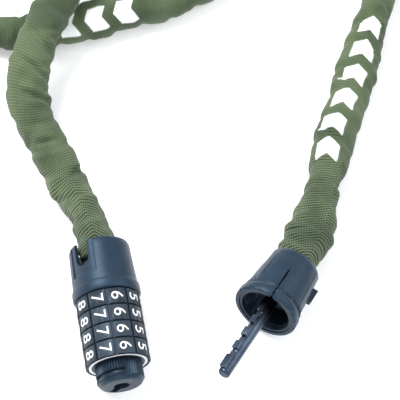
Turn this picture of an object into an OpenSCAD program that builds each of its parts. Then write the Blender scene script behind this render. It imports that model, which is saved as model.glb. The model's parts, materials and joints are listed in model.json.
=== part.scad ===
// Combination chain lock, open: a four-dial half and a cup half with a toothed locking pin,
// joined by a chain of steel links inside a woven sleeve.
// Millimetres. +Z is up. The dial half lies along +Y with the keyhole's rim at the origin.

/* [Dials] */
// Diameter over the raised number tiles
dial_d = 30.4; // [30:0.1:30.8]
// Width of the grooves between the tiles
tile_groove_w = 1.3; // [1:0.1:1.6]
// Depth of the grooves between the tiles
tile_groove_h = 0.7; // [0.5:0.1:0.8]

/* [Caps] */
// Diameter of the dial cap at its open end
cap_d = 29.2; // [28.8:0.1:29.8]
// Width of the slots that the chain folds into
slot_w = 7.4; // [7:0.1:8]
// Depth of those slots, measured from the open end
slot_len = 12.4; // [11:0.2:13]
// Step of the panels round the slots
panel_step = 0.6; // [0.4:0.1:0.7]

/* [Knob] */
// Diameter over the knurls of the reset knob
knob_d = 22; // [21.6:0.1:22.4]
// Number of knurls on the reset knob
knurl_count = 52; // [44:2:60]
// Radius of the hole that the locking pin enters
keyhole_r = 3.7; // [3.6:0.05:3.8]

/* [Chain] */
// Wire diameter of the links
wire_d = 3.8; // [3.6:0.1:3.8]
// Width over the sleeve where it lies flat
sleeve_w = 21.2; // [20.8:0.2:22]

/* [Hidden] */
$fn = 96;
slack = 0.1;

// Dial half, measured along +Y from the knob's face
knob_end_y = 9.8;
plate_y = 10.1;
plate_t = 1;
ring_start_y = 10;
ring_pitch = 8.25;
ring_w = 8;
ring_bore_r = 11.3;
tile_inset = 0.3;
ring_recess_r = 14.1;
ring_recess_h = 1.3;
cap_start_y = 43.1;
cap_floor_y = 46;
cap_end_y = 70;
collar_d = 32.2;
collar_end_y = 48.2;
cavity_r = 12;
core_r = 4;
core_start_y = 4.9;
core_bore_r = 3.1;
fin_slot_w = 3.2;
fin_slot_r = 5.2;
fin_slot_end_y = 50.6;
core_bore_end_y = 52.4;
flange_r = 11.8;
flange_end_y = 47.5;
dial_pin_y = 61;
slot_angle = -46;
key_angle = 207;
dial_angle = 10;

// Cup half, measured from its mouth
cup_mouth = [73, 26.9, 1.8];
cup_yaw = 42;
cup_pitch = 7.5;
cup_len = 32;
cup_mouth_r = 16.2;
cup_end_r = 13.3;
cup_bore_r = 12.2;
cup_bore_end = 13.6;
cup_web_end = 17.8;
cup_rear_r = 11;
boss_r = 7;
boss_start = 12.8;
mouth_ring_r = 13.9;
cup_pin_z = 24.8;
cup_slot_angle = 94;
seam_angle = -2;
fin_angle = -31;
rod_r = 2.95;
rod_len = 40.8;
rod_end = 15;
fin_w = 2.9;
fin_r = 4.9;
fin_low_r = 3.3;
cup_dir = [sin(cup_yaw) * cos(cup_pitch), cos(cup_yaw) * cos(cup_pitch), -sin(cup_pitch)];

// Chain and sleeve
link_w = 13.8;
link_len = 24.4;
anchor_pin_r = 2.2;
wrap = anchor_pin_r + wire_d;
first_link = link_len / 2 - wrap;
sleeve_h = 17.2;
sleeve_wall = 1;
sleeve_neck = 16.8;
sleeve_taper = 26;
sleeve_gap = 4.5;
lie_z = -7.5;
route = [
    [0, 61, 0], [0, 72, 0], [-2, 86, -3], [-7, 106, -7], [-14, 127, -7.2],
    [-21, 146, -1.6], [-22, 165, 6], [-15, 183, 11.6], [-3, 202, 12.4], [9, 221, 10.6],
    [18, 243, 5], [12, 266, -2.4], [-4, 282, -7.5], [-27, 288, -7.5], [-50, 282, -7.5],
    [-66, 266, -7.5], [-72, 243, -7.5], [-66, 220, -7.5], [-50, 204, -7.5], [-27, 198, -7.5],
    [-4, 201, -7.5], [19, 206, -7.5], [42, 210, -7.5], [63, 215, -7.5], [83, 222, -7.5],
    [99, 235, -7.5], [108, 254, -7.5], [112, 275, -7.5], [121, 296, -7.5], [143, 309, -7.5],
    [168, 309, -7.5], [190, 296, -7.5], [203, 274, -7.5], [203, 250, -7.5], [193, 229, -7.5],
    [180, 209, -7.5], [168, 188, -7.5], [156, 166, -7.5], [144, 143, -7.5], [132, 120, -7.5],
    [122, 100, -7.5], [115.6, 84.4, -6.9], [107.4, 70, -5.5], [99, 55.7, -3.4], cup_mouth + cup_pin_z * cup_dir
];

// Stands a piece's own +Z along the row's +Y, starting at y
module along_y(y) {
    translate([0, y, 0])
        rotate([-90, 0, 0])
            children();
}

// Turns a piece's own +X to an angle counted from the top
module toward(angle) {
    rotate([0, 0, angle - 90])
        children();
}

module cup_place() {
    translate(cup_mouth)
        rotate([-90 - cup_pitch, 0, -cup_yaw])
            children();
}

module tube(r_out, r_in, h) {
    difference() {
        cylinder(r = r_out, h = h);
        translate([0, 0, -1])
            cylinder(r = r_in, h = h + 2);
    }
}

// A straight-sided slot with a round bottom, cut through both walls of a cap
module fold_slots(angle, bottom, top) {
    toward(angle)
        rotate([0, 90, 0]) {
            translate([-bottom - slot_w / 2, 0, -20])
                cylinder(d = slot_w, h = 40);
            translate([-top, -slot_w / 2, -20])
                cube([top - bottom - slot_w / 2, slot_w, 40]);
        }
}

// Shallow recess over part of a tapering wall: radii at the low and the high end
module panel_cut(angle, spread, z0, z1, r0, r1) {
    for (side = [0, 180])
        toward(angle + side)
            rotate([0, 0, -spread / 2])
                rotate_extrude(angle = spread)
                    polygon([[r0, z0], [r0 + 4, z0], [r1 + 4, z1], [r1, z1]]);
}

// ---------- dial half ----------

module cap_outline() {
    r_low = collar_d / 2;
    r_body = collar_d / 2 - 0.7;
    r_top = cap_d / 2;
    h_collar = collar_end_y - cap_start_y;
    h = cap_end_y - cap_start_y;
    rotate_extrude() {
        polygon([
            [0, 0], [r_low - 0.8, 0], [r_low - 0.2, 0.3], [r_low, 1],
            [r_low, h_collar - 0.9], [r_low - 0.2, h_collar - 0.3], [r_body, h_collar],
            [r_top, h - 1.8], [r_top - 0.5, h - 0.6], [r_top - 1.4, h], [0, h]
        ]);
    }
}

module dial_cap() {
    h = cap_end_y - cap_start_y;
    floor_h = cap_floor_y - cap_start_y;
    r_panel = cap_d / 2 - panel_step;
    color([0.09, 0.1, 0.12])
        along_y(cap_start_y)
            difference() {
                cap_outline();
                translate([0, 0, floor_h])
                    cylinder(r = cavity_r, h = h);
                translate([0, 0, -1])
                    cylinder(r = fin_slot_r + 0.3, h = h);
                fold_slots(slot_angle, h - slot_len, h + 1);
                panel_cut(slot_angle, 56, h - 17, h + 1, r_panel + 0.55, r_panel);
            }
}

module core_tube() {
    color([0.62, 0.63, 0.65])
        difference() {
            union() {
                along_y(core_start_y)
                    cylinder(r = core_r, h = flange_end_y - core_start_y);
                along_y(cap_floor_y)
                    cylinder(r = flange_r, h = flange_end_y - cap_floor_y);
            }
            along_y(core_start_y - 1)
                cylinder(r = core_bore_r, h = flange_end_y);
            along_y(core_start_y - 1)
                toward(key_angle)
                    translate([0, -fin_slot_w / 2, 0])
                        cube([fin_slot_r, fin_slot_w, flange_end_y]);
        }
}

// Two ears on a round base: an anchor for the last link of the chain.
// base is the base's height, pin_h the pin's height, slot_dir the way the chain may fold
module anchor(r_base, base, pin_h, slot_dir) {
    ear_gap = wire_d + 0.8;
    ear_w = 5.4;
    ear_top = pin_h + 3;
    difference() {
        intersection() {
            union() {
                cylinder(r = r_base, h = base);
                toward(slot_dir)
                    translate([-ear_w, -7.9, 0])
                        cube([2 * ear_w, 15.8, ear_top]);
            }
            cylinder(r = r_base, h = ear_top + 1);
        }
        toward(slot_dir)
            translate([-15, -ear_gap / 2, pin_h - wrap - 0.4])
                cube([30, ear_gap, 20]);
        toward(slot_dir + 90)
            translate([0, 0, pin_h])
                rotate([0, 90, 0])
                    translate([0, 0, -15])
                        cylinder(r = anchor_pin_r, h = 30);
    }
}

module anchor_pin(pin_h, slot_dir, reach) {
    toward(slot_dir + 90)
        translate([0, 0, pin_h])
            rotate([0, 90, 0])
                translate([0, 0, -reach])
                    cylinder(r = anchor_pin_r, h = 2 * reach);
}

module dial_anchor() {
    color([0.6, 0.61, 0.63])
        difference() {
            along_y(flange_end_y)
                anchor(flange_r, 5, dial_pin_y - flange_end_y, slot_angle);
            along_y(flange_end_y - 1)
                cylinder(r = core_bore_r, h = core_bore_end_y - flange_end_y + 1);
            along_y(flange_end_y - 1)
                toward(key_angle)
                    translate([0, -fin_slot_w / 2, 0])
                        cube([fin_slot_r, fin_slot_w, fin_slot_end_y - flange_end_y + 1]);
        }
}

module dial_anchor_pin() {
    color([0.75, 0.76, 0.78])
        along_y(0)
            anchor_pin(dial_pin_y, slot_angle, 8.6);
}

function ring_y(k) = ring_start_y + (4 - k) * ring_pitch;

module tile_profile() {
    difference() {
        circle(d = dial_d);
        for (i = [0 : 9])
            rotate(18 + 36 * i)
                translate([dial_d / 2 - tile_groove_h, -tile_groove_w / 2])
                    square([3, tile_groove_w]);
    }
}

module number_ring(k) {
    color([0.2, 0.21, 0.23])
        along_y(ring_y(k))
            toward(dial_angle)
                difference() {
                    union() {
                        cylinder(r = dial_d / 2 - tile_groove_h, h = ring_w);
                        translate([0, 0, tile_inset])
                            linear_extrude(ring_w - 2 * tile_inset)
                                tile_profile();
                    }
                    translate([0, 0, -1])
                        cylinder(r = ring_bore_r, h = ring_w + 2);
                    translate([0, 0, -1])
                        cylinder(r = min(ring_recess_r, dial_d / 2 - tile_groove_h - 0.3), h = ring_recess_h + 1);
                }
}

module code_ring(k) {
    web_start = 3.1;
    web_t = 2.8;
    color([0.72, 0.6, 0.3])
        along_y(ring_y(k))
            difference() {
                translate([0, 0, ring_recess_h])
                    cylinder(r = ring_bore_r, h = ring_w - ring_recess_h);
                translate([0, 0, -1])
                    cylinder(r = core_r + 0.08, h = ring_w + 2);
                translate([0, 0, -1])
                    cylinder(r = fin_slot_r + 0.2, h = web_start + 1);
                translate([0, 0, web_start + web_t])
                    cylinder(r = fin_slot_r + 0.2, h = ring_w);
                toward(key_angle)
                    translate([0, -1.7, -1])
                        cube([fin_slot_r + 0.1, 3.4, ring_w + 2]);
            }
}

module white_washer() {
    color([0.93, 0.93, 0.92])
        along_y(plate_y)
            tube(13.7, 12.4, plate_t);
}

module end_plate() {
    color([0.12, 0.12, 0.14])
        along_y(plate_y)
            difference() {
                tube(12.4, core_r, plate_t);
                toward(key_angle)
                    translate([0, -fin_slot_w / 2, -1])
                        cube([fin_slot_r, fin_slot_w, plate_t + 2]);
            }
}

module knurl_profile() {
    difference() {
        circle(d = knob_d);
        for (i = [0 : knurl_count - 1])
            rotate(360 * i / knurl_count)
                translate([knob_d / 2, 0])
                    rotate(45)
                        square(0.8, center = true);
    }
}

module reset_knob() {
    face_t = 4.6;
    nose = 2.2;
    groove_w = 1.8;
    r = knob_d / 2 - 0.5;
    color([0.09, 0.1, 0.12])
        along_y(0)
            difference() {
                union() {
                    rotate_extrude()
                        polygon([
                            [0, 0], [r - 2.2, 0], [r - 1.4, 0.15], [r - 0.7, 0.6],
                            [r - 0.2, 1.3], [r, nose], [0, nose]
                        ]);
                    translate([0, 0, nose])
                        linear_extrude(knob_end_y - nose)
                            knurl_profile();
                }
                translate([0, 0, -1])
                    cylinder(r = keyhole_r, h = 20);
                translate([0, 0, -1])
                    toward(key_angle)
                        translate([0, -fin_slot_w / 2, 0])
                            cube([7.6, fin_slot_w + 0.2, 20]);
                translate([0, 0, face_t])
                    cylinder(r = 8.7, h = 10);
                toward(-104)
                    rotate_extrude(angle = 112)
                        translate([knob_d / 2 - 1.7, 3.4])
                            square([3, groove_w]);
            }
}

function coil(a) = [7.3 * cos(a), 7.3 * sin(a), 5.2 + 2.9 * a / 1080];

module reset_spring() {
    turns = 1080;
    step = 20;
    r = 0.4;
    rings = turns / step;
    points = [
        for (i = [0 : rings], k = [0 : 5])
            let (a = i * step, c = coil(a))
                c + r * cos(60 * k) * [cos(a), sin(a), 0] + r * sin(60 * k) * [0, 0, 1]
    ];
    sides = [
        for (i = [0 : rings - 1], k = [0 : 5])
            let (a = 6 * i + k, b = 6 * i + (k + 1) % 6)
                [a, b, b + 6, a + 6]
    ];
    ends = [[5, 4, 3, 2, 1, 0], [for (k = [0 : 5]) 6 * rings + k]];
    color([0.7, 0.71, 0.73])
        along_y(0)
            polyhedron(concat(points), concat(sides, ends));
}

module retaining_clip() {
    color([0.55, 0.56, 0.58])
        along_y(8.6)
            difference() {
                tube(6.4, core_r, 0.8);
                toward(key_angle)
                    translate([0, -3, -1])
                        cube([10, 6, 3]);
            }
}

// ---------- cup half ----------

module cup_outline() {
    r = cup_mouth_r;
    rotate_extrude()
        polygon([
            [0, 0], [r - 0.9, 0], [r - 0.3, 0.25], [r, 0.9], [r, 4], [r - 0.25, 4.6],
            [r - 0.7, 5.2], [r - 1.1, 14], [cup_end_r + 1.1, 23], [cup_end_r + 0.4, cup_len - 3],
            [cup_end_r - 0.1, cup_len - 1.3], [cup_end_r - 0.8, cup_len - 0.3],
            [cup_end_r - 1.5, cup_len], [0, cup_len]
        ]);
}

module cup_body() {
    r_low = cup_mouth_r - 0.7 - panel_step;
    r_high = cup_end_r + 0.25 - panel_step;
    difference() {
        cup_outline();
        translate([0, 0, -1])
            cylinder(r = cup_bore_r, h = cup_bore_end + 1);
        translate([0, 0, -1])
            cylinder(r = mouth_ring_r, h = 4.6);
        translate([0, 0, 5])
            cylinder(r = boss_r, h = 20);
        translate([0, 0, cup_web_end])
            cylinder(r = cup_rear_r, h = 20);
        fold_slots(cup_slot_angle, cup_len - slot_len, cup_len + 1);
        panel_cut(cup_slot_angle, 80, 7.5, cup_len + 1, r_low, r_high);
        for (side = [0, 180])
            toward(seam_angle + side)
                translate([11, -0.4, -1])
                    cube([9, 0.8, 19]);
    }
    toward(cup_slot_angle)
        translate([12.4, -1.7, 18.6])
            cube([3.5, 3.4, 7.6]);
}

// Half of the body on one side of the plane through its seam
module cup_shell(side) {
    color([0.1, 0.11, 0.13])
        cup_place()
            intersection() {
                cup_body();
                toward(seam_angle + side)
                    translate([-40, 0, -5])
                        cube([80, 40, 50]);
            }
}

module mouth_ring() {
    color([0.08, 0.08, 0.1])
        cup_place()
            translate([0, 0, 0.5])
                difference() {
                    tube(mouth_ring_r, 12.5, 3.1);
                    toward(seam_angle)
                        translate([11, -1.2, -1])
                            cube([5, 2.4, 2.4]);
                }
}

// Teeth are counted back from the pin's tip, and so are the low stretches behind them
module locking_pin() {
    teeth = [[1.5, 8.8], [13.2, 17.7], [21.7, 26.6], [29.9, 34.5], [38.2, rod_len + boss_start - 0.9]];
    low = [[8.8, 12.2], [17.7, 20.8], [26.6, 29.2], [34.5, 37.2]];
    color([0.2, 0.22, 0.26])
        cup_place()
            translate([0, 0, -rod_len]) {
                rotate_extrude()
                    polygon([
                        [0, 0], [rod_r - 1, 0], [rod_r - 0.3, 0.35], [rod_r, 1],
                        [rod_r, rod_len + rod_end], [0, rod_len + rod_end]
                    ]);
                for (t = teeth)
                    toward(fin_angle)
                        translate([0, -fin_w / 2, t[0]])
                            cube([fin_r, fin_w, t[1] - t[0]]);
                for (t = low)
                    toward(fin_angle)
                        translate([0, -fin_w / 2, t[0]])
                            cube([fin_low_r, fin_w, t[1] - t[0]]);
            }
}

module pin_washer() {
    color([0.82, 0.83, 0.85])
        cup_place()
            translate([0, 0, boss_start - 0.8])
                difference() {
                    tube(6.2, rod_r, 0.8);
                    toward(fin_angle)
                        translate([0, -fin_w / 2, -1])
                            cube([fin_r, fin_w, 3]);
                }
}

module cup_anchor() {
    color([0.6, 0.61, 0.63])
        cup_place()
            difference() {
                union() {
                    translate([0, 0, boss_start])
                        cylinder(r = boss_r, h = cup_web_end - boss_start);
                    translate([0, 0, cup_web_end])
                        anchor(9.6, 1.2, cup_pin_z - cup_web_end, cup_slot_angle);
                }
                translate([0, 0, boss_start - 1])
                    cylinder(r = rod_r, h = rod_end - boss_start + 1);
            }
}

module cup_anchor_pin() {
    color([0.75, 0.76, 0.78])
        cup_place()
            anchor_pin(cup_pin_z, cup_slot_angle, 8.6);
}

// ---------- chain and sleeve ----------

last = len(route) - 1;
spans = 6;

function corner(i) =
    i < 0 ? 2 * route[0] - route[1] : i > last ? 2 * route[last] - route[last - 1] : route[i];

function curve(p, q, r, s, t) =
    let (u = 1 - t)
        (u * u * u * p + (3 * t * t * t - 6 * t * t + 4) * q + (3 * u * u * u - 6 * u * u + 4) * r + t * t * t * s) / 6;

function rest_on_floor(p) = [p[0], p[1], max(p[2], lie_z)];

line = [
    for (i = [0 : last - 1], k = [0 : spans - 1])
        rest_on_floor(curve(corner(i - 1), corner(i), corner(i + 1), corner(i + 2), k / spans)),
    route[last]
];

run = [
    for (i = 0, s = 0; i < len(line); s = s + (i < len(line) - 1 ? norm(line[i + 1] - line[i]) : 0), i = i + 1)
        s
];

total = run[len(run) - 1];
xs = [for (i = [0 : len(line) - 1]) [run[i], line[i][0]]];
ys = [for (i = [0 : len(line) - 1]) [run[i], line[i][1]]];
zs = [for (i = [0 : len(line) - 1]) [run[i], line[i][2]]];

function at(s) = [lookup(s, xs), lookup(s, ys), lookup(s, zs)];
function unit(v) = v / norm(v);
function heading(s) =
    s < 3 ? [0, 1, 0] : s > total - 3 ? -cup_dir : unit(at(s + 3) - at(s - 3));
function side_of(s) = unit(cross(heading(s), [0, 0, 1]));
function up_of(s) = cross(side_of(s), heading(s));

module link() {
    bend_r = (link_w - wire_d) / 2;
    reach = (link_len - link_w) / 2;
    for (m = [0, 1])
        mirror([m, 0, 0])
            translate([reach, 0, 0])
                rotate([0, 0, -90])
                    rotate_extrude(angle = 180, $fn = 48)
                        translate([bend_r, 0])
                            circle(d = wire_d, $fn = 24);
    for (y = [-bend_r, bend_r])
        translate([-reach, y, 0])
            rotate([0, 90, 0])
                cylinder(d = wire_d, h = 2 * reach, $fn = 24);
}

module chain_links() {
    spacing = 15.5;
    count = round((total - 2 * first_link) / spacing) + 1;
    step = (total - 2 * first_link) / (count - 1);
    turn_0 = slot_angle + 90;
    turn_end = -(cup_slot_angle + 90) + 180;
    twist = turn_end - turn_0 - 90 * ((count - 1) % 2);
    color([0.6, 0.61, 0.63])
        for (i = [0 : count - 1]) {
            s = first_link + i * step;
            turn = turn_0 + 90 * (i % 2) + twist * i / (count - 1);
            h = heading(s);
            n = cos(turn) * up_of(s) + sin(turn) * side_of(s);
            w = cross(n, h);
            p = at(s);
            multmatrix([
                [h[0], w[0], n[0], p[0]],
                [h[1], w[1], n[1], p[1]],
                [h[2], w[2], n[2], p[2]],
                [0, 0, 0, 1]
            ])
                link();
        }
}

function ease(t) = t <= 0 ? 0 : t >= 1 ? 1 : t * t * (3 - 2 * t);
function fullness(s) = ease(min(s - sleeve_gap, total - sleeve_gap - s) / sleeve_taper);
function sleeve_ring(s, inset) =
    let (
        w = (sleeve_neck + (sleeve_w - sleeve_neck) * fullness(s)) / 2 - inset,
        h = (sleeve_neck + (sleeve_h - sleeve_neck) * fullness(s)) / 2 - inset
    )
        [for (a = [0 : 30 : 330]) at(s) + w * cos(a) * side_of(s) + h * sin(a) * up_of(s)];

module sleeve() {
    rings = 79;
    step = (total - 2 * sleeve_gap) / (rings - 1);
    outer = [for (i = [0 : rings - 1]) each sleeve_ring(sleeve_gap + i * step, 0)];
    inner = [for (i = [0 : rings - 1]) each sleeve_ring(sleeve_gap + i * step, sleeve_wall)];
    shift = 12 * rings;
    end = 12 * (rings - 1);
    walls = [
        for (i = [0 : rings - 2], k = [0 : 11])
            let (a = 12 * i + k, b = 12 * i + (k + 1) % 12)
                each [
                    [a, b, b + 12], [a, b + 12, a + 12],
                    [shift + b, shift + a, shift + a + 12], [shift + b, shift + a + 12, shift + b + 12]
                ]
    ];
    rims = [
        for (k = [0 : 11])
            let (b = (k + 1) % 12)
                each [[b, k, shift + k, shift + b], [end + k, end + b, shift + end + b, shift + end + k]]
    ];
    color([0.33, 0.42, 0.27])
        polyhedron(concat(outer, inner), concat(walls, rims));
}

dial_cap();
core_tube();
dial_anchor();
dial_anchor_pin();
number_ring(1);  // number_ring_1
number_ring(2);  // number_ring_2
number_ring(3);  // number_ring_3
number_ring(4);  // number_ring_4
code_ring(1);  // code_ring_1
code_ring(2);  // code_ring_2
code_ring(3);  // code_ring_3
code_ring(4);  // code_ring_4
white_washer();
end_plate();
reset_knob();
reset_spring();
retaining_clip();
cup_shell(180);  // cup_shell_left
cup_shell(0);  // cup_shell_right
mouth_ring();
locking_pin();
pin_washer();
cup_anchor();
cup_anchor_pin();
chain_links();
sleeve();
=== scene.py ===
import bpy
import bmesh
import json
import math
import numpy as np
from mathutils import Matrix, Vector


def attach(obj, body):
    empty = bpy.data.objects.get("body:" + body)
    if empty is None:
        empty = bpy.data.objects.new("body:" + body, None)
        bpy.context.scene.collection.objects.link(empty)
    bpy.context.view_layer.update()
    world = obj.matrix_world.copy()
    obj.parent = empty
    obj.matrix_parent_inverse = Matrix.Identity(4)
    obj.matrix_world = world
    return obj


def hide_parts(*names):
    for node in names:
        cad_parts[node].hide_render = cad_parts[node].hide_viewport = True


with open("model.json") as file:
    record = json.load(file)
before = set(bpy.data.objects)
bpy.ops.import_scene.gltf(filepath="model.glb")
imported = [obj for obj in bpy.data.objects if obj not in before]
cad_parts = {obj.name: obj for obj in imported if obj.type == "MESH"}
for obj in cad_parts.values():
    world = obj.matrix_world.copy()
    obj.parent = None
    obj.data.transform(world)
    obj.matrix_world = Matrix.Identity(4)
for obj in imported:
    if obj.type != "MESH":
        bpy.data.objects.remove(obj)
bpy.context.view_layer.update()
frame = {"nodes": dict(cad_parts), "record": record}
rng = np.random.default_rng(7)
MM = 0.001

# ---------------------------------------------------------------- camera

cam_data = bpy.data.cameras.new("camera")
cam_data.lens = 127.8
cam_data.sensor_width = 36
cam_data.clip_start = 0.02
cam_data.clip_end = 20
cam = bpy.data.objects.new("camera", cam_data)
bpy.context.scene.collection.objects.link(cam)
bpy.context.scene.camera = cam
cam_yaw, cam_pitch, cam_roll = (math.radians(a) for a in (26.4, 61.36, 17.9))
cam.matrix_world = (
    Matrix.Translation((-0.0953, -0.2097, 0.6130))
    @ Matrix.Rotation(-cam_yaw, 4, "Z")
    @ Matrix.Rotation(math.pi / 2 - cam_pitch, 4, "X")
    @ Matrix.Rotation(cam_roll, 4, "Z")
)

# ---------------------------------------------------------------- the chain's route

CUP_YAW, CUP_PITCH = math.radians(42), math.radians(7.5)
CUP_DIR = np.array([
    math.sin(CUP_YAW) * math.cos(CUP_PITCH), math.cos(CUP_YAW) * math.cos(CUP_PITCH), -math.sin(CUP_PITCH)
])
CUP_MOUTH = np.array([73, 26.9, 1.8])
CUP_PIN_Z = 24.8
REST_Z = -7.5
ROUTE = [
    (0, 61, 0), (0, 72, 0), (-2, 86, -3), (-7, 106, -7), (-14, 127, -7.2),
    (-21, 146, -1.6), (-22, 165, 6), (-15, 183, 11.6), (-3, 202, 12.4), (9, 221, 10.6),
    (18, 243, 5), (12, 266, -2.4), (-4, 282, -7.5), (-27, 288, -7.5), (-50, 282, -7.5),
    (-66, 266, -7.5), (-72, 243, -7.5), (-66, 220, -7.5), (-50, 204, -7.5), (-27, 198, -7.5),
    (-4, 201, -7.5), (19, 206, -7.5), (42, 210, -7.5), (63, 215, -7.5), (83, 222, -7.5),
    (99, 235, -7.5), (108, 254, -7.5), (112, 275, -7.5), (121, 296, -7.5), (143, 309, -7.5),
    (168, 309, -7.5), (190, 296, -7.5), (203, 274, -7.5), (203, 250, -7.5), (193, 229, -7.5),
    (180, 209, -7.5), (168, 188, -7.5), (156, 166, -7.5), (144, 143, -7.5), (132, 120, -7.5),
    (122, 100, -7.5), (115.6, 84.4, -6.9), (107.4, 70, -5.5), (99, 55.7, -3.4),
    tuple(CUP_MOUTH + CUP_PIN_Z * CUP_DIR),
]


def spline(points, steps):
    """Smooth curve that rounds off the corners of the points and starts and ends on the outer ones."""
    p = np.array(points, float)
    p = np.vstack([2 * p[0] - p[1], p, 2 * p[-1] - p[-2]])
    t = (np.arange(steps) / steps)[:, None]
    u = 1 - t
    out = []
    for i in range(len(p) - 3):
        a, b, c, d = p[i : i + 4]
        out.append((u**3 * a + (3 * t**3 - 6 * t**2 + 4) * b + (3 * u**3 - 6 * u**2 + 4) * c + t**3 * d) / 6)
    out.append(np.array(points[-1:], float))
    return np.vstack(out)


line = spline(ROUTE, 24)
line[:, 2] = np.maximum(line[:, 2], REST_Z)
run = np.r_[0, np.cumsum(np.linalg.norm(np.diff(line, axis=0), axis=1))]
TOTAL = run[-1]


def at(s):
    """Places on the chain's centre line at the distances s."""
    return np.stack([np.interp(s, run, line[:, k]) for k in range(3)], -1)


def frames(s):
    """Centre, sideways and upward directions of the chain at the distances s."""
    h = at(s + 2) - at(s - 2)
    h[s < 3] = (0, 1, 0)
    h[s > TOTAL - 3] = -CUP_DIR
    h /= np.linalg.norm(h, axis=1)[:, None]
    side = np.cross(h, (0, 0, 1.0))
    side /= np.linalg.norm(side, axis=1)[:, None]
    return at(s), side, np.cross(side, h)


# ---------------------------------------------------------------- materials


DARK = 0.1
BLUE_GLOSS = (0.55, 0.77, 1, 1)


def material(name):
    m = bpy.data.materials.new(name)
    m.use_nodes = True
    return m, m.node_tree.nodes, m.node_tree.links, m.node_tree.nodes["Principled BSDF"]


def add(nodes, kind, **values):
    n = nodes.new(kind)
    for key, value in values.items():
        if key in n.inputs:
            n.inputs[key].default_value = value
        else:
            setattr(n, key, value)
    return n


def math_node(nodes, links, operation, a, b=None):
    n = nodes.new("ShaderNodeMath")
    n.operation = operation
    for i, v in enumerate((a, b)):
        if v is None:
            continue
        if isinstance(v, (int, float)):
            n.inputs[i].default_value = v
        else:
            links.new(v, n.inputs[i])
    return n.outputs[0]


def ramp(nodes, links, source, stops):
    n = nodes.new("ShaderNodeValToRGB")
    e = n.color_ramp.elements
    for i, (pos, col) in enumerate(stops):
        el = e[i] if i < 2 else e.new(pos)
        el.position = pos
        el.color = (*col, 1) if len(col) == 3 else col
    links.new(source, n.inputs[0])
    return n.outputs[0]


def object_coords(nodes):
    return nodes.new("ShaderNodeTexCoord").outputs["Object"]


def distance_to_line(nodes, links, co, point, direction):
    """How far a spot is from a line, in metres."""
    away = add(nodes, "ShaderNodeVectorMath", operation="SUBTRACT")
    links.new(co, away.inputs[0])
    away.inputs[1].default_value = [c * MM for c in point]
    cross = add(nodes, "ShaderNodeVectorMath", operation="CROSS_PRODUCT")
    links.new(away.outputs["Vector"], cross.inputs[0])
    cross.inputs[1].default_value = direction
    length = add(nodes, "ShaderNodeVectorMath", operation="LENGTH")
    links.new(cross.outputs["Vector"], length.inputs[0])
    return length.outputs["Value"]


def grimy(nodes, links, colour, measure, near, far, painted_tone):
    """The colour, going over to a painted light and shade tone as a measure in metres goes from far to near,
    both in mm.
    """
    fade = nodes.new("ShaderNodeMapRange")
    fade.inputs["From Min"].default_value = near * MM
    fade.inputs["From Max"].default_value = far * MM
    links.new(measure, fade.inputs["Value"])
    painted_mix = nodes.new("ShaderNodeMix")
    painted_mix.data_type = "RGBA"
    links.new(fade.outputs["Result"], painted_mix.inputs["Factor"])
    painted_mix.inputs["A"].default_value = (*painted_tone, 1)
    links.new(colour, painted_mix.inputs["B"])
    return painted_mix.outputs["Result"]


def surface(nodes, links, shader, pattern, smoothest, roughest, strength, depth):
    """Roughness and fine relief that follow one pattern."""
    span = nodes.new("ShaderNodeMapRange")
    span.inputs["To Min"].default_value = smoothest
    span.inputs["To Max"].default_value = roughest
    links.new(pattern, span.inputs["Value"])
    links.new(span.outputs["Result"], shader.inputs["Roughness"])
    relief = add(nodes, "ShaderNodeBump", Strength=strength, Distance=depth)
    links.new(pattern, relief.inputs["Height"])
    links.new(relief.outputs["Normal"], shader.inputs["Normal"])


def plastic(name, dark, light, rough, grain, spec=0.5, bump=0.25, shadow=None):
    """Moulded plastic: fine grain and slight clouding. shadow = (point and direction of an axis,
    the two distances from it between which the painted light and shade fades away, colour of the painted
    light and shade)."""
    m, nodes, links, shader = material(name)
    co = object_coords(nodes)
    cloud = add(nodes, "ShaderNodeTexNoise", Scale=90.0, Detail=5.0, Roughness=0.6)
    fine = add(nodes, "ShaderNodeTexNoise", Scale=grain, Detail=3.0, Roughness=0.7)
    links.new(co, cloud.inputs["Vector"])
    links.new(co, fine.inputs["Vector"])
    colour = ramp(nodes, links, cloud.outputs["Fac"], [(0.3, dark), (0.75, light)])
    if shadow:
        point, direction, inner, outer, painted_tone = shadow
        # painted light and shade: near the axis the colour goes over to a set tone
        away = distance_to_line(nodes, links, co, point, direction)
        colour = grimy(nodes, links, colour, away, inner, outer, painted_tone)
    links.new(colour, shader.inputs["Base Color"])
    surface(nodes, links, shader, fine.outputs["Fac"], rough - 0.07, rough + 0.09, bump, 0.00012)
    shader.inputs["Specular IOR Level"].default_value = spec
    if max(light) < DARK:
        shader.inputs["Specular Tint"].default_value = BLUE_GLOSS
    return m


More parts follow.
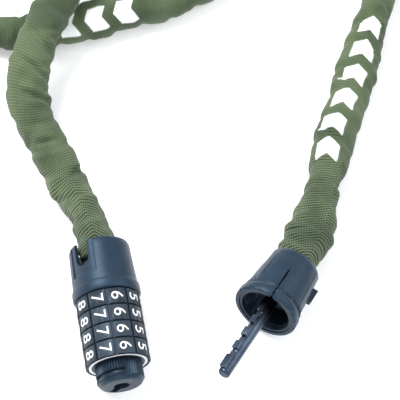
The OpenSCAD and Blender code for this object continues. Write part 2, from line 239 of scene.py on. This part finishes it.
def metal(name, base, dark, rough, scale, stretch=(1, 1, 1), cup_shade=False):
    """Scratched and lightly stained metal. sunk: painted shade, darker where it goes into the cup."""
    m, nodes, links, shader = material(name)
    co = object_coords(nodes)
    mapping = nodes.new("ShaderNodeMapping")
    mapping.inputs["Scale"].default_value = stretch
    links.new(co, mapping.inputs["Vector"])
    scratch = add(nodes, "ShaderNodeTexNoise", Scale=scale, Detail=6.0, Roughness=0.7)
    stain = add(nodes, "ShaderNodeTexNoise", Scale=120.0, Detail=4.0)
    links.new(mapping.outputs["Vector"], scratch.inputs["Vector"])
    links.new(co, stain.inputs["Vector"])
    colour = ramp(nodes, links, stain.outputs["Fac"], [(0.32, dark), (0.62, base)])
    # painted shade: the metal darkens deeper than the cup's mouth
    if cup_shade:
        depth = add(nodes, "ShaderNodeVectorMath", operation="DOT_PRODUCT")
        links.new(co, depth.inputs[0])
        depth.inputs[1].default_value = CUP_DIR
        mouth_at = float(CUP_MOUTH @ CUP_DIR)
        colour = grimy(
            nodes, links, colour, depth.outputs["Value"], mouth_at + 2.5, mouth_at - 3.5, (0.02, 0.025, 0.035)
        )
    links.new(colour, shader.inputs["Base Color"])
    surface(nodes, links, shader, scratch.outputs["Fac"], rough - 0.08, rough + 0.12, 0.18, 0.00008)
    shader.inputs["Metallic"].default_value = 1.0
    return m


MATS = {
    "cap_plastic": plastic(
        "cap_plastic", (0.01, 0.021, 0.037), (0.019, 0.034, 0.054), 0.42, 2600.0, 0.34,
        # painted light: the cup's bore and inner rim within 12.3 mm of its axis take a set lighter tone for
        # how they are lit
        shadow=(CUP_MOUTH, CUP_DIR, 12.3, 13.6, (0.034, 0.047, 0.068)),
    ),
    "knob_plastic": plastic("knob_plastic", (0.007, 0.015, 0.027), (0.015, 0.027, 0.044), 0.38, 2400.0, 0.36),
    "dial_plastic": plastic(
        "dial_plastic", (0.019, 0.026, 0.035), (0.034, 0.043, 0.054), 0.46, 3000.0, 0.38,
        # painted shade in the grooves between the number tiles, below 14.6 mm from the dial's axis
        shadow=((0, 0, 0), (0, 1, 0), 14.6, 15.0, (0.007, 0.012, 0.02)),
    ),
    "black_plastic": plastic(
        "black_plastic", (0.009, 0.015, 0.023), (0.017, 0.025, 0.036), 0.42, 2200.0, 0.4
    ),
    "white_plastic": plastic("white_plastic", (0.7, 0.71, 0.73), (0.82, 0.83, 0.84), 0.5, 1800.0, bump=0.1),
    "digit_paint": plastic("digit_paint", (0.78, 0.79, 0.8), (0.9, 0.9, 0.9), 0.55, 2600.0, bump=0.1),
    "code_brass": metal("code_brass", (0.66, 0.47, 0.2), (0.45, 0.31, 0.13), 0.32, 900.0, (1, 6, 1)),
    "core_metal": metal("core_metal", (0.46, 0.47, 0.49), (0.3, 0.31, 0.33), 0.42, 1500.0),
    "pin_steel": metal("pin_steel", (0.62, 0.63, 0.65), (0.42, 0.43, 0.45), 0.28, 1600.0),
    "spring_steel": metal("spring_steel", (0.5, 0.51, 0.53), (0.32, 0.33, 0.35), 0.3, 1600.0),
    # painted shade darkens the locking pin inside the cup
    "lock_steel": metal(
        "lock_steel", (0.1, 0.13, 0.18), (0.045, 0.062, 0.092), 0.36, 1300.0, (1, 1, 5), cup_shade=True
    ),
    "bright_steel": metal("bright_steel", (0.85, 0.86, 0.88), (0.7, 0.71, 0.73), 0.14, 900.0),
    "chain_steel": metal("chain_steel", (0.5, 0.51, 0.53), (0.3, 0.31, 0.32), 0.33, 700.0),
}


def fabric():
    """Ribbed weave: UV x counts the ribs along the chain, UV y the millimetres round it."""
    m, nodes, links, shader = material("sleeve_fabric")
    uv = add(nodes, "ShaderNodeUVMap", uv_map="weave")
    split = nodes.new("ShaderNodeSeparateXYZ")
    links.new(uv.outputs["UV"], split.inputs[0])
    along, around = split.outputs["X"], split.outputs["Y"]
    rib = math_node(nodes, links, "SINE", math_node(nodes, links, "MULTIPLY", along, 2 * math.pi))
    step = math_node(nodes, links, "FLOOR", along)
    odd = math_node(nodes, links, "MULTIPLY", math_node(nodes, links, "MODULO", step, 2.0), math.pi)
    bead = math_node(
        nodes, links, "SINE",
        math_node(nodes, links, "ADD", math_node(nodes, links, "MULTIPLY", around, 2 * math.pi / 1.1), odd),
    )
    fuzz = add(nodes, "ShaderNodeTexNoise", Scale=1.6, Detail=5.0, Roughness=0.75)
    links.new(uv.outputs["UV"], fuzz.inputs["Vector"])
    patch = add(nodes, "ShaderNodeTexNoise", Scale=38.0, Detail=4.0, Roughness=0.55)
    links.new(object_coords(nodes), patch.inputs["Vector"])
    drawn = add(nodes, "ShaderNodeAttribute", attribute_name="drawn")
    weave = math_node(
        nodes, links, "ADD",
        math_node(nodes, links, "MULTIPLY", rib, 0.42), math_node(nodes, links, "MULTIPLY", bead, 0.34),
    )
    weave = math_node(
        nodes, links, "MULTIPLY", weave,
        math_node(nodes, links, "ADD", math_node(nodes, links, "MULTIPLY", drawn.outputs["Fac"], 1.55), 0.38),
    )
    fluff = math_node(nodes, links, "MULTIPLY", fuzz.outputs["Fac"], 0.8)
    height = math_node(nodes, links, "ADD", weave, fluff)
    shade = nodes.new("ShaderNodeMapRange")
    shade.inputs["From Min"].default_value = -0.5
    shade.inputs["From Max"].default_value = 1.3
    links.new(height, shade.inputs["Value"])
    # the weave colour darkens in the grooves between ribs and beads as painted shade, stronger where the
    # sleeve is drawn tight; the fuzz adds random tone
    olive_and_groove_shade = ramp(
        nodes, links, shade.outputs["Result"],
        [(0.0, (0.01, 0.018, 0.008)), (0.5, (0.082, 0.116, 0.058)), (1.0, (0.2, 0.25, 0.145))],
    )
    tint = nodes.new("ShaderNodeMix")
    tint.data_type = "RGBA"
    tint.blend_type = "MULTIPLY"
    tint.inputs["Factor"].default_value = 0.9
    links.new(olive_and_groove_shade, tint.inputs["A"])
    links.new(
        ramp(nodes, links, patch.outputs["Fac"], [(0.38, (0.5, 0.54, 0.53)), (0.6, (1.0, 1.0, 1.0))]),
        tint.inputs["B"],
    )
    ink = add(nodes, "ShaderNodeAttribute", attribute_name="print")
    raised = math_node(nodes, links, "MULTIPLY", shade.outputs["Result"], 4.0)
    covered = math_node(nodes, links, "MINIMUM", raised, 1.0)
    worn = math_node(nodes, links, "MULTIPLY", ink.outputs["Fac"], covered)
    mix = nodes.new("ShaderNodeMix")
    mix.data_type = "RGBA"
    links.new(worn, mix.inputs["Factor"])
    links.new(tint.outputs["Result"], mix.inputs["A"])
    mix.inputs["B"].default_value = (0.88, 0.9, 0.9, 1)
    links.new(mix.outputs["Result"], shader.inputs["Base Color"])
    bump = add(nodes, "ShaderNodeBump", Strength=0.7, Distance=0.00035)
    links.new(height, bump.inputs["Height"])
    links.new(bump.outputs["Normal"], shader.inputs["Normal"])
    shader.inputs["Roughness"].default_value = 0.85
    shader.inputs["Specular IOR Level"].default_value = 0.2
    shader.inputs["Sheen Weight"].default_value = 0.12
    shader.inputs["Sheen Roughness"].default_value = 0.5
    return m


MATS["sleeve_fabric"] = fabric()

for entry in frame["record"]["subparts"]:
    node = frame["nodes"][entry["node"]]
    node.data.materials.clear()
    node.data.materials.append(MATS[entry["material_slot"]])

ROUNDED = {
    "dial_cap": 0.16, "cup_shell_left": 0.16, "cup_shell_right": 0.16, "mouth_ring": 0.15,
    "locking_pin": 0.1, "number_ring_1": 0.14, "number_ring_2": 0.14, "number_ring_3": 0.14,
    "number_ring_4": 0.14, "reset_knob": 0.1, "white_washer": 0.12, "pin_washer": 0.12,
    "dial_anchor": 0.3, "cup_anchor": 0.3,
}
for name, width in ROUNDED.items():
    piece = frame["nodes"][name]
    weld = piece.modifiers.new("weld", "WELD")
    weld.merge_threshold = 0.00001
    bevel = piece.modifiers.new("bevel", "BEVEL")
    bevel.width = width * MM
    bevel.segments = 3
    bevel.limit_method = "ANGLE"
    bevel.angle_limit = math.radians(32)
    bevel.harden_normals = False

# ---------------------------------------------------------------- sleeve


def smooth(t):
    t = np.clip(t, 0, 1)
    return t * t * (3 - 2 * t)


def bell(x, centre, width):
    return np.exp(-(((x - centre) / width) ** 2))


def wrinkles(s, a, count, k_low, k_high, turns):
    """Seeded sum of oblique waves along and round the sleeve."""
    out = np.zeros(np.broadcast(s, a).shape)
    for _ in range(count):
        k = rng.uniform(k_low, k_high)
        n = int(rng.integers(-turns, turns + 1))
        out += rng.uniform(0.4, 1.0) * np.sin(k * s + n * a + rng.uniform(0, 2 * math.pi))
    return out / math.sqrt(count)


def profile(s, points, blur):
    """Smoothed line through (distance, value) pairs."""
    x, y = zip(*points)
    offsets = np.linspace(-2 * blur, 2 * blur, 17)
    weight = np.exp(-((offsets / blur) ** 2))
    return sum(w * np.interp(s + o, x, y) for o, w in zip(offsets, weight)) / weight.sum()


START, END = 4.3, TOTAL - 4.5
RINGS, ROUND = 3000, 80
LEAST_R = 7.45
CAP_THROAT, CUP_THROAT = 10.3, 9.4
GIRTH = 60
FLOOR = -16.1
SOFTEN = 0.9
SLOT_SIDE = np.array([-0.72, 0, 0.69])
s = np.linspace(START, END, RINGS)
a = np.linspace(0, 2 * math.pi, ROUND, endpoint=False)
S, A = s[:, None], a[None, :]
full = smooth(np.minimum(s - START, END - s) / 24)
LEFT_LOOP = float(run[np.argmin(np.hypot(line[:, 0] + 32, line[:, 1] - 199))])
# half width along the chain: narrow where the fabric is pulled tight, wide where it bunches up
half_w = profile(s, [
    (0, 9.7), (10, 9.4), (22, 8.3), (36, 7.9), (47, 9.6), (60, 9.6), (75, 9.7), (95, 10.6),
    (125, 10.2), (150, 10.0), (185, 9.9), (240, 10.4), (LEFT_LOOP - 40, 10.2), (LEFT_LOOP, 7.7),
    (LEFT_LOOP + 30, 10.0), (430, 10.6), (520, 10.2), (620, 10.5), (TOTAL - 240, 10.2),
    (TOTAL - 190, 8.4), (TOTAL - 173, 7.9), (TOTAL - 158, 9.4), (TOTAL - 145, 10.8),
    (TOTAL - 130, 11.1), (TOTAL - 113, 10.2), (TOTAL - 92, 10.9), (TOTAL - 78, 10.7),
    (TOTAL - 61, 8.0), (TOTAL - 45, 9.4), (TOTAL - 32, 11.8), (TOTAL - 16, 10.8), (TOTAL, 9.2),
], 4)
half_w += 0.35 * full * wrinkles(s, 0.0, 7, 0.05, 0.2, 0)
half_w = np.clip(half_w, 7.7, 12.3)
half_h = np.minimum(8.2 + 0.4 * full, half_w + 0.3)
sway = np.minimum(half_w - 7.9, 1.0).clip(0) * 0.8 * wrinkles(s, 0.0, 5, 0.05, 0.16, 0)
sway += -2.0 * bell(s, 98, 22) + 0.6 * bell(s, 52, 14) - 0.8 * bell(s, LEFT_LOOP, 25)
sway += 1.3 * bell(s, TOTAL - 15, 9) * smooth((TOTAL - 7 - s) / 6)

link_first, link_step = 5.99, 15.45
link_roll = math.radians(44)
radius = 1 / np.sqrt((np.cos(A) / half_w[:, None]) ** 2 + (np.sin(A) / half_h[:, None]) ** 2)
# the links push the fabric out turn and turn about, and it sags between them
lean = 2.4 * np.cos(A - 0.9)
lift = np.zeros_like(radius)
for k in (0, 1):
    strength = np.cos(math.pi * ((S + lean - link_first) / link_step - k)).clip(0) ** 2
    lobe = np.abs(np.cos(A - link_roll - k * math.pi / 2)) ** 4
    lift += 1.3 * strength * lobe
sag = -0.85 * np.sin(2 * math.pi * (S + lean - link_first) / link_step + np.sin(A)).clip(0) ** 2
folds = 0.36 * wrinkles(S, A, 26, 0.12, 0.6, 4)
# oblique creases, each a dent with a soft ridge beside it: distance, angle, slant, depth, reach
creased = [
    (50, 1.0, -3, 1.9, 0.6), (73, 1.9, 2, 1.3, 0.6), (97, 1.2, 5, 1.7, 1.0), (111, 1.1, 5, 1.6, 1.0),
    (125, 1.1, 5, 1.5, 0.9), (TOTAL - 86, 1.0, 5, 1.3, 0.7), (TOTAL - 122, 0.7, 8, 1.0, 0.7),
]
for _ in range(80):
    creased.append((
        rng.uniform(START + 8, END - 8), rng.uniform(0, 2 * math.pi), rng.uniform(-6, 6),
        rng.uniform(0.4, 1.2), rng.uniform(0.45, 1.1),
    ))
dents = np.zeros_like(radius)
for s0, a0, slant, depth, reach in creased:
    rows = np.abs(s - s0) < 16
    turn = np.mod(a - a0 + math.pi, 2 * math.pi) - math.pi
    d = s[rows][:, None] - s0 - slant * turn[None, :]
    shape = np.exp(-((turn / reach) ** 2))[None, :]
    dents[rows] += depth * shape * (0.7 * bell(d, 3.4, 2.2) - bell(d, 0, 1.7))
near_start, near_end = bell(s, START + 14, 24)[:, None], bell(s, END - 16, 22)[:, None]
# gathered folds at both ends, and a ridge along the fabric's edge
creases = near_start * (
    0.55 * np.sin(0.5 * S - 4.8 * np.abs(np.sin((A - 1.9) / 2))) + 0.25 * np.sin(0.9 * S + 2 * A)
)
creases += near_end * (
    0.6 * np.sin(0.52 * S + 4.5 * np.abs(np.sin((A - 1.2) / 2))) + 0.3 * np.sin(0.95 * S - 2 * A)
)
ridge = bell(A, 2.15, 0.15) * smooth((TOTAL - 20 - S) / 20) * smooth((S - TOTAL + 105) / 40)
ridge = ridge + 0.7 * bell(A, 1.75, 0.16) * smooth((62 - S) / 20) * smooth((S - 8) / 8)
taper = (smooth((s - START) / 6) * smooth((END - s) / 6))[:, None]
radius = radius + full[:, None] * (lift + sag + folds + dents) + (0.75 * creases + ridge) * taper
radius = np.maximum(radius, LEAST_R)
# inside the cap and the cup the fabric stays clear of their walls
mouth = smooth(np.minimum(s - START, TOTAL - 8 - s) / 8)[:, None]
throat = np.where(S < TOTAL / 2, CAP_THROAT, CUP_THROAT)
radius = np.minimum(radius, throat + 5 * mouth)

# ribs of the weave: wider apart where the sleeve is drawn tight, bent into a V at the folds
drawn = np.clip(bell(s, 0, 62) + bell(s, TOTAL, 78) + 0.35 * bell(s, 178, 40), 0, 1)
rib_run = np.r_[0, np.cumsum(np.diff(s) / (1.22 + 0.42 * drawn[1:]))][:, None]
vee = (
    4.6 * bell(S, 0, 42) * np.abs(np.sin((A - 1.75) / 2))
    - 3.8 * bell(S, TOTAL, 60) * np.abs(np.sin((A - 2.15) / 2))
)
wander = 1.3 * np.sin(A + 0.012 * S) + 0.6 * np.sin(0.09 * S) + 0.5 * np.sin(2 * A + 0.05 * S)
ribs_at = rib_run + vee + wander
radius = radius + (0.03 + 0.085 * drawn[:, None]) * np.sin(2 * math.pi * ribs_at)

centre, side, up = frames(s)
centre = centre + sway[:, None] * side
# it leans into the cap's slot
centre = centre + 0.9 * (bell(s, 9, 11) * smooth((s - START) / 4))[:, None] * SLOT_SIDE
pos = centre[:, None, :] + radius[..., None] * (
    np.cos(A)[..., None] * side[:, None, :] + np.sin(A)[..., None] * up[:, None, :]
)
# where it meets the floor it flattens out
low = pos[..., 2] < FLOOR + SOFTEN
pressed = FLOOR + 0.05 + 0.85 * np.exp((pos[..., 2] - FLOOR - SOFTEN) / SOFTEN)
pos[..., 2] = np.where(low, pressed, pos[..., 2])

verts = pos.reshape(-1, 3) * MM
first = np.arange(RINGS - 1)[:, None] * ROUND
i0 = first + np.arange(ROUND)
i1 = first + (np.arange(ROUND) + 1) % ROUND
quads = np.stack([i0, i1, i1 + ROUND, i0 + ROUND], -1).reshape(-1, 4)
rims = [list(range(ROUND))[::-1], [(RINGS - 1) * ROUND + k for k in range(ROUND)]]
mesh = bpy.data.meshes.new("woven_sleeve")
mesh.from_pydata(verts.tolist(), [], quads.tolist() + rims)
mesh.update()

uv = mesh.uv_layers.new(name="weave")
step_mm = GIRTH / ROUND
edge = np.concatenate([ribs_at, ribs_at[:, :1]], axis=1)
corner_u = np.stack([edge[:-1, :-1], edge[:-1, 1:], edge[1:, 1:], edge[1:, :-1]], -1)
v0 = np.broadcast_to(np.arange(ROUND) * step_mm, (RINGS - 1, ROUND))
corner_v = np.stack([v0, v0 + step_mm, v0 + step_mm, v0], -1)
flat = np.zeros((len(mesh.loops), 2), np.float32)
flat[: corner_u.size, 0] = corner_u.reshape(-1)
flat[: corner_u.size, 1] = corner_v.reshape(-1)
uv.data.foreach_set("uv", flat.reshape(-1))


ARROW_PITCH, ARROW_THICK = 16.4, 9.9
BAND_HALF = 7.0
PRINT_EDGE = 0.4


def chevrons(start, count, middle):
    """Generic printed row of arrow shapes from a distance on, round the angle middle."""
    across = np.abs(A - middle) * 10.0
    band = smooth((BAND_HALF - across) / 0.5)
    x = S - start - 0.55 * across
    inside = smooth((x + PRINT_EDGE) / PRINT_EDGE) * smooth((ARROW_PITCH * count - 6 - x) / PRINT_EDGE)
    beat = np.mod(x, ARROW_PITCH)
    return inside * smooth((beat + 0.2) / PRINT_EDGE) * smooth((ARROW_THICK - beat) / PRINT_EDGE) * band


ink = np.maximum(
    chevrons(408, 4, math.pi / 2 - 0.52),
    chevrons(TOTAL - 165, 6, math.pi / 2 - 0.38 * smooth((S - TOTAL + 150) / 60)),
)
for name, values in (("print", ink), ("drawn", np.broadcast_to(drawn[:, None], ink.shape))):
    attribute = mesh.attributes.new(name, "FLOAT", "POINT")
    attribute.data.foreach_set("value", values.reshape(-1).astype(np.float32))

sleeve = bpy.data.objects.new("woven_sleeve", mesh)
bpy.context.scene.collection.objects.link(sleeve)
for p in mesh.polygons:
    p.use_smooth = True
mesh.materials.append(MATS["sleeve_fabric"])
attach(sleeve, "chain")
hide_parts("sleeve")

# ---------------------------------------------------------------- numbers on the dials

RING_R = 15.2
DIGIT_H = 5.7
RING_START, RING_PITCH, TILE_HALF = 10, 8.25, 4
TILE_ANGLE, DIAL_ANGLE, SHOWN = 36, 10, 6


def digit_mesh(n):
    """One flat numeral, centred and DIGIT_H high."""
    text = bpy.data.curves.new("digit", "FONT")
    text.body = str(n)
    text.size = 1
    text.offset = -0.002
    text.align_x = "CENTER"
    text.align_y = "CENTER"
    holder = bpy.data.objects.new("digit", text)
    bpy.context.scene.collection.objects.link(holder)
    bpy.context.view_layer.update()
    made = bpy.data.meshes.new_from_object(holder)
    bpy.data.objects.remove(holder)
    co = np.array([v.co for v in made.vertices])
    lo, hi = co.min(0), co.max(0)
    k = DIGIT_H / (hi[1] - lo[1])
    for v in made.vertices:
        v.co = ((v.co.x - (lo[0] + hi[0]) / 2) * k * 1.08, (v.co.y - (lo[1] + hi[1]) / 2) * k, 0)
    return made


FLAT_DIGITS = [digit_mesh(n) for n in range(10)]


def ring_digits(k):
    """All ten numbers of one dial, laid on its tiles and given a little thickness."""
    y_mid = RING_START + (4 - k) * RING_PITCH + TILE_HALF
    whole = bmesh.new()
    for n in range(10):
        bm = bmesh.new()
        bm.from_mesh(FLAT_DIGITS[n])
        for cut in np.arange(-2.8, 2.81, 0.4):
            everything = bm.verts[:] + bm.edges[:] + bm.faces[:]
            bmesh.ops.bisect_plane(bm, geom=everything, plane_co=(0, float(cut), 0), plane_no=(0, 1, 0))
        solid = bmesh.ops.extrude_face_region(bm, geom=bm.faces[:])
        top = {v for v in solid["geom"] if isinstance(v, bmesh.types.BMVert)}
        phi = math.radians(DIAL_ANGLE + (SHOWN - n) * TILE_ANGLE)
        for v in bm.verts:
            r = RING_R + (0.09 if v in top else -0.12)
            angle = phi + v.co.y / RING_R
            v.co = (r * math.sin(angle) * MM, (y_mid - v.co.x) * MM, r * math.cos(angle) * MM)
        bmesh.ops.recalc_face_normals(bm, faces=bm.faces[:])
        part = bpy.data.meshes.new("part")
        bm.to_mesh(part)
        bm.free()
        whole.from_mesh(part)
        bpy.data.meshes.remove(part)
    out = bpy.data.meshes.new(f"digits_{k}")
    whole.to_mesh(out)
    whole.free()
    obj = bpy.data.objects.new(f"digits_{k}", out)
    bpy.context.scene.collection.objects.link(obj)
    out.materials.append(MATS["digit_paint"])
    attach(obj, f"dial_{k}")


for k in (1, 2, 3, 4):
    ring_digits(k)
for made in FLAT_DIGITS:
    bpy.data.meshes.remove(made)

# ---------------------------------------------------------------- floor and light

floor_mesh = bpy.data.meshes.new("floor")
floor_mesh.from_pydata([(-3, -3, 0), (3, -3, 0), (3, 3, 0), (-3, 3, 0)], [], [(0, 1, 2, 3)])
floor = bpy.data.objects.new("floor", floor_mesh)
floor.location.z = FLOOR * MM
bpy.context.scene.collection.objects.link(floor)
m, nodes, links, shader = material("floor_white")
speck = add(nodes, "ShaderNodeTexNoise", Scale=60.0, Detail=3.0)
links.new(object_coords(nodes), speck.inputs["Vector"])
links.new(
    ramp(nodes, links, speck.outputs["Fac"], [(0.3, (0.9, 0.9, 0.905)), (0.7, (0.92, 0.92, 0.925))]),
    shader.inputs["Base Color"],
)
shader.inputs["Roughness"].default_value = 0.8
shader.inputs["Emission Color"].default_value = (1, 1, 1, 1)
shader.inputs["Emission Strength"].default_value = 0.25
floor_mesh.materials.append(m)


def area_light(name, place, aim, size, power, colour=(1, 1, 1)):
    data = bpy.data.lights.new(name, "AREA")
    data.shape = "RECTANGLE"
    data.size = size[0]
    data.size_y = size[1]
    data.energy = power
    data.color = colour
    obj = bpy.data.objects.new(name, data)
    obj.location = place
    obj.rotation_euler = (Vector(aim) - Vector(place)).to_track_quat("-Z", "Y").to_euler()
    bpy.context.scene.collection.objects.link(obj)


area_light("key", (-0.5, 0.7, 1.1), (0.05, 0.1, 0), (0.7, 0.7), 27)
area_light("fill", (0.9, 0.1, 0.9), (0.05, 0.1, 0), (0.9, 0.9), 6, (0.95, 0.97, 1))
area_light("front", (-0.2, -0.9, 0.7), (0.03, 0.05, 0), (0.9, 0.6), 6, (0.95, 0.97, 1))
world = bpy.data.worlds.new("world")
bpy.context.scene.world = world
world.use_nodes = True
world.node_tree.nodes["Background"].inputs["Color"].default_value = (0.95, 0.97, 1, 1)
world.node_tree.nodes["Background"].inputs["Strength"].default_value = 0.55
bpy.context.scene.view_settings.view_transform = "Standard"
